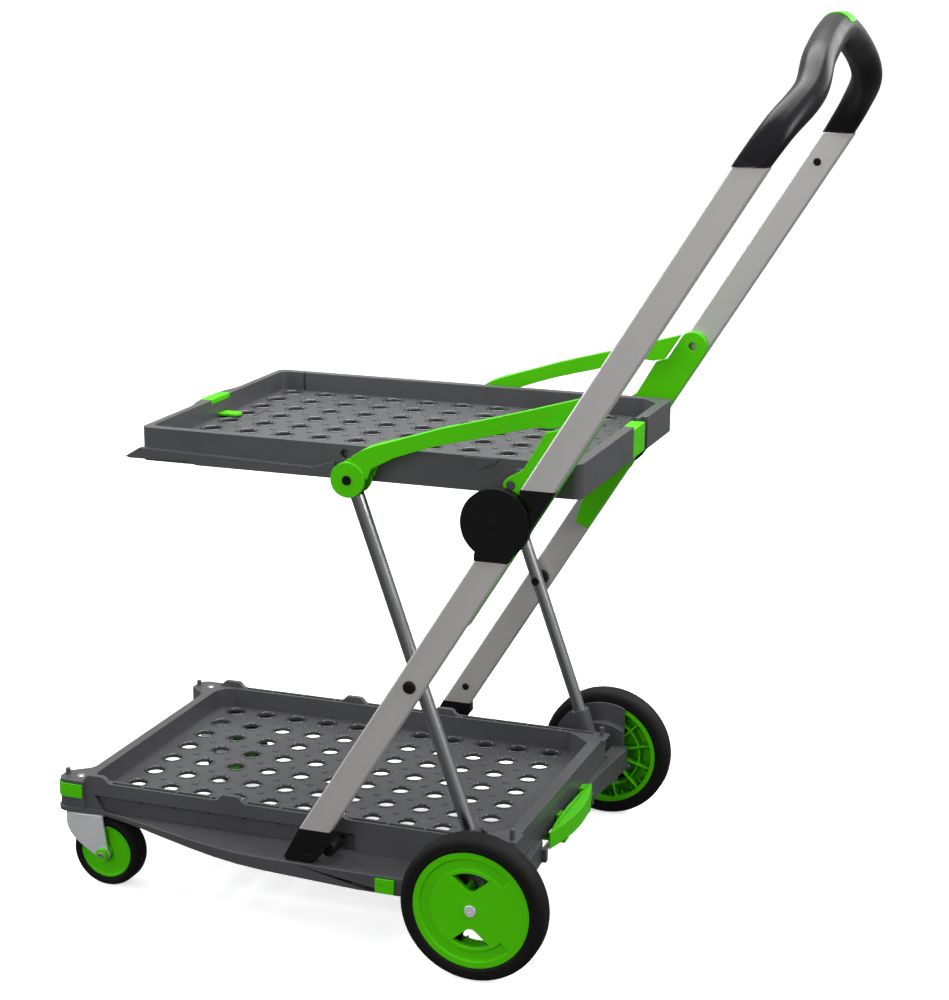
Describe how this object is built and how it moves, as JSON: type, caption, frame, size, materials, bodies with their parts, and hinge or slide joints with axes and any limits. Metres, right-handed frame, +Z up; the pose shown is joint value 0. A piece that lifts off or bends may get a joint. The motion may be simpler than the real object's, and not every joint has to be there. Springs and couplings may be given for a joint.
{
  "type": "folding platform cart",
  "caption": "Folding platform cart: two slotted decks on a scissor frame, fold-down push handle, two fixed rear wheels and two swivel casters",
  "frame": {"origin": "on the floor under the wheels, on the centre plane between left and right, 273 mm ahead of the rear axle", "axes": "+X to the rear, where the handle is; +Y to the cart's right; +Z up"},
  "size_m": [0.8803, 0.5504, 1.0319],
  "materials": {
    "grey_plastic": "moulded, fine satin texture",
    "lime_plastic": "moulded, soft gloss",
    "tyre_rubber": "solid rubber, dull",
    "anodised_aluminium": "satin anodised, bright edges",
    "zinc_plate": "pressed and zinc plated",
    "bright_steel": "bright plated",
    "grip_plastic": "satin black",
    "black_plastic": "satin black"
  },
  "bodies": {
    "base": {"base_deck": "grey_plastic", "base_frame": "grey_plastic", "corner_clips": "lime_plastic", "side_clips": "lime_plastic", "caster_rivets": "bright_steel", "rear_axle": "bright_steel", "axle_caps": "bright_steel", "pedal_pin": "bright_steel"},
    "rear_wheel_left": {"rear_tyre_left": "tyre_rubber", "rear_rim_left": "lime_plastic"},
    "rear_wheel_right": {"rear_tyre_right": "tyre_rubber", "rear_rim_right": "lime_plastic"},
    "caster_left": {"caster_fork_left": "zinc_plate", "caster_axle_left": "lime_plastic"},
    "caster_right": {"caster_fork_right": "zinc_plate", "caster_axle_right": "lime_plastic"},
    "caster_wheel_left": {"caster_tyre_left": "tyre_rubber", "caster_hub_left": "lime_plastic"},
    "caster_wheel_right": {"caster_tyre_right": "tyre_rubber", "caster_hub_right": "lime_plastic"},
    "pedal": {"foot_pedal": "lime_plastic", "release_lever": "lime_plastic"},
    "leg_frame": {"leg_tube_left": "bright_steel", "leg_tube_right": "bright_steel", "leg_eyes": "grey_plastic", "leg_top_plugs": "black_plastic", "cross_bolts": "black_plastic", "cross_washers": "black_plastic"},
    "mast": {"mast_profile_left": "anodised_aluminium", "mast_profile_right": "anodised_aluminium", "slide_feet": "black_plastic", "lower_hinge_left": "black_plastic", "lower_hinge_right": "black_plastic", "mast_screws": "black_plastic"},
    "handle": {"handle_profile_left": "anodised_aluminium", "handle_profile_right": "anodised_aluminium", "upper_hinge_left": "black_plastic", "upper_hinge_right": "black_plastic", "hinge_covers": "black_plastic", "grip": "grip_plastic", "grip_screws": "black_plastic", "release_rods": "bright_steel", "button_spring": "bright_steel", "bracket_left": "lime_plastic", "bracket_right": "lime_plastic", "tray_pivots": "grey_plastic"},
    "button": {"grip_button": "lime_plastic"},
    "arms": {"arm_left": "lime_plastic", "arm_right": "lime_plastic", "arm_screws": "black_plastic"},
    "tray": {"upper_deck": "grey_plastic", "latch_pins": "bright_steel"},
    "front_catch": {"front_latch": "lime_plastic"},
    "rear_catch": {"rear_latch": "lime_plastic"}
  },
  "joints": [
    {"name": "frame_fold", "type": "hinge", "parent": "base", "child": "leg_frame", "pos_m": [0.273, 0, 0.0834], "axis": [0, -1, 0], "range_deg": [0, 54.5]},
    {"name": "mast_pivot", "type": "hinge", "parent": "leg_frame", "child": "mast", "pos_m": [0.189, 0, 0.3172], "axis": [0, -1, 0], "range_deg": [-107.7, 0.1]},
    {"name": "handle_fold", "type": "hinge", "parent": "mast", "child": "handle", "pos_m": [0.2844, 0, 0.5086], "axis": [0, -1, 0], "range_deg": [-0.1, 175.7]},
    {"name": "arm_pivot", "type": "hinge", "parent": "leg_frame", "child": "arms", "pos_m": [0.1105, 0, 0.537], "axis": [0, -1, 0], "range_deg": [-75.5, 0.1]},
    {"name": "tray_pivot", "type": "hinge", "parent": "handle", "child": "tray", "pos_m": [0.297, 0, 0.548], "axis": [0, -1, 0], "range_deg": [-122.6, 0.1]},
    {"name": "handle_button", "type": "slide", "parent": "handle", "child": "button", "axis": [0, 0, -1], "range_m": [0, 0.003], "stiffness_N_per_m": 600, "springref_m": -0.002, "deforming": ["button_spring"]},
    {"name": "pedal_press", "type": "hinge", "parent": "base", "child": "pedal", "pos_m": [0.298, 0, 0.085], "axis": [0, 1, 0], "range_deg": [0, 8], "stiffness_Nm_per_rad": 2, "springref_deg": -14.32},
    {"name": "front_catch_rock", "type": "hinge", "parent": "tray", "child": "front_catch", "pos_m": [-0.151, 0, 0.551], "axis": [0, -1, 0], "range_deg": [0, 3], "stiffness_Nm_per_rad": 0.2, "springref_deg": -11.46},
    {"name": "rear_catch_rock", "type": "hinge", "parent": "tray", "child": "rear_catch", "pos_m": [0.356, 0.04, 0.536], "axis": [0, 1, 0], "range_deg": [0, 10], "stiffness_Nm_per_rad": 0.2, "springref_deg": -11.46},
    {"name": "rear_wheel_left_spin", "type": "hinge", "parent": "base", "child": "rear_wheel_left", "pos_m": [0.273, -0.259, 0.0834], "axis": [0, 1, 0], "continuous": true},
    {"name": "caster_left_swivel", "type": "hinge", "parent": "base", "child": "caster_left", "pos_m": [-0.246, -0.1746, 0.09], "axis": [0, 0, 1], "continuous": true},
    {"name": "caster_wheel_left_spin", "type": "hinge", "parent": "caster_left", "child": "caster_wheel_left", "pos_m": [-0.2195, -0.1746, 0.0435], "axis": [0, 1, 0], "continuous": true},
    {"name": "rear_wheel_right_spin", "type": "hinge", "parent": "base", "child": "rear_wheel_right", "pos_m": [0.273, 0.259, 0.0834], "axis": [0, 1, 0], "continuous": true},
    {"name": "caster_right_swivel", "type": "hinge", "parent": "base", "child": "caster_right", "pos_m": [-0.246, 0.1746, 0.09], "axis": [0, 0, 1], "continuous": true},
    {"name": "caster_wheel_right_spin", "type": "hinge", "parent": "caster_right", "child": "caster_wheel_right", "pos_m": [-0.2195, 0.1746, 0.0435], "axis": [0, 1, 0], "continuous": true}
  ],
  "couplings": [
    {"joint": "mast_pivot", "follows": "frame_fold", "ratio": -1.9743},
    {"joint": "handle_fold", "follows": "frame_fold", "ratio": 3.222},
    {"joint": "arm_pivot", "follows": "frame_fold", "ratio": -1.3835},
    {"joint": "tray_pivot", "follows": "frame_fold", "ratio": -2.2477}
  ]
}
